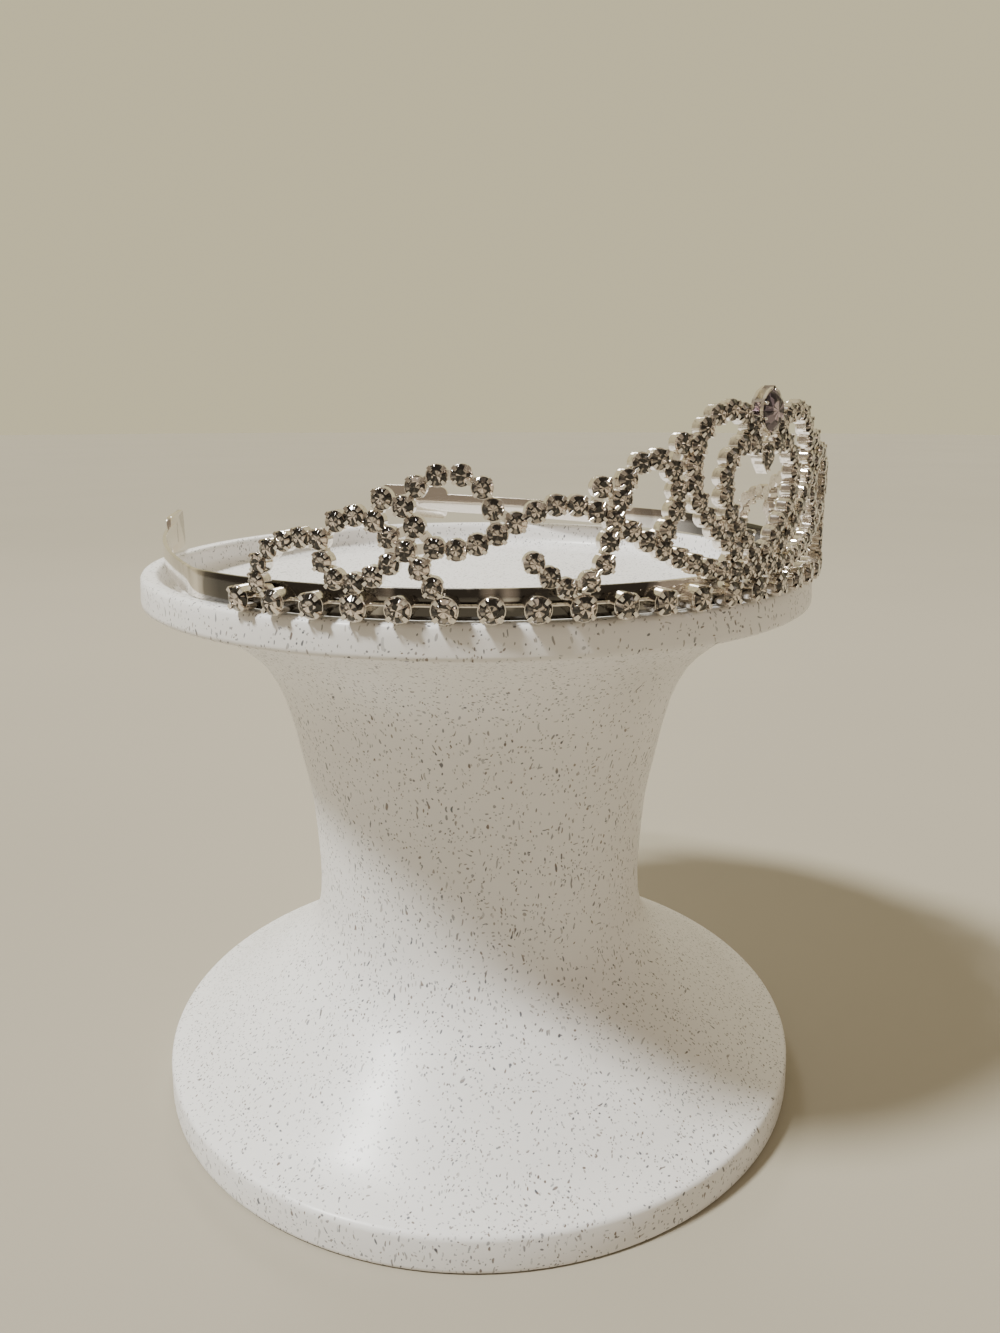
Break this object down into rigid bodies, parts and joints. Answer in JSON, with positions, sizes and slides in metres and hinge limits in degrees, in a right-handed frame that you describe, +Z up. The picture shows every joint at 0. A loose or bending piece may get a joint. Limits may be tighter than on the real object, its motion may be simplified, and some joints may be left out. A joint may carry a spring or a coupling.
{
  "type": "rhinestone diadem on a pedestal stand",
  "caption": "Silver-coloured diadem of clear stones in round cups, with scrolls rising to a heart and a pointed oval stone, resting on a waisted round pedestal stand.",
  "frame": {"origin": "centre of the stand's foot, on the table", "axes": "+Z up, the diadem's heart towards -Y, its open arms towards +Y"},
  "size_m": [0.1458, 0.15, 0.1531],
  "materials": {
    "stand": "off-white satin gloss plastic with small dark grey specks",
    "silver": "bright silver-coloured plating",
    "clear_stone": "clear foil-backed cut glass",
    "lilac_stone": "clear foil-backed cut glass with a faint lilac cast"
  },
  "bodies": {
    "root": {"branch_stones_left": "clear_stone", "branch_stones_right": "clear_stone", "drop_stone": "lilac_stone", "frame": "silver", "heart_edge_stones_left": "clear_stone", "heart_edge_stones_right": "clear_stone", "heart_stones": "clear_stone", "inner_loop_stones_left": "clear_stone", "inner_loop_stones_right": "clear_stone", "navette_stone": "lilac_stone", "outer_loop_stones_left": "clear_stone", "outer_loop_stones_right": "clear_stone", "pedestal": "stand", "row_stone_01": "clear_stone", "row_stone_02": "clear_stone", "row_stone_03": "clear_stone", "row_stone_04": "clear_stone", "row_stone_05": "clear_stone", "row_stone_06": "clear_stone", "row_stone_07": "clear_stone", "row_stone_08": "clear_stone", "row_stone_09": "clear_stone", "row_stone_10": "clear_stone", "row_stone_11": "clear_stone", "row_stone_12": "clear_stone", "row_stone_13": "clear_stone", "row_stone_14": "clear_stone", "row_stone_15": "clear_stone", "row_stone_16": "clear_stone", "row_stone_17": "clear_stone", "row_stone_18": "clear_stone", "row_stone_19": "clear_stone", "row_stone_20": "clear_stone", "row_stone_21": "clear_stone", "row_stone_22": "clear_stone", "row_stone_23": "clear_stone", "row_stone_24": "clear_stone", "row_stone_25": "clear_stone", "row_stone_26": "clear_stone", "row_stone_27": "clear_stone", "scroll_stones_left": "clear_stone", "scroll_stones_right": "clear_stone", "step_stones_left": "clear_stone", "step_stones_right": "clear_stone", "wave_stones_left": "clear_stone", "wave_stones_right": "clear_stone"}
  },
  "joints": []
}
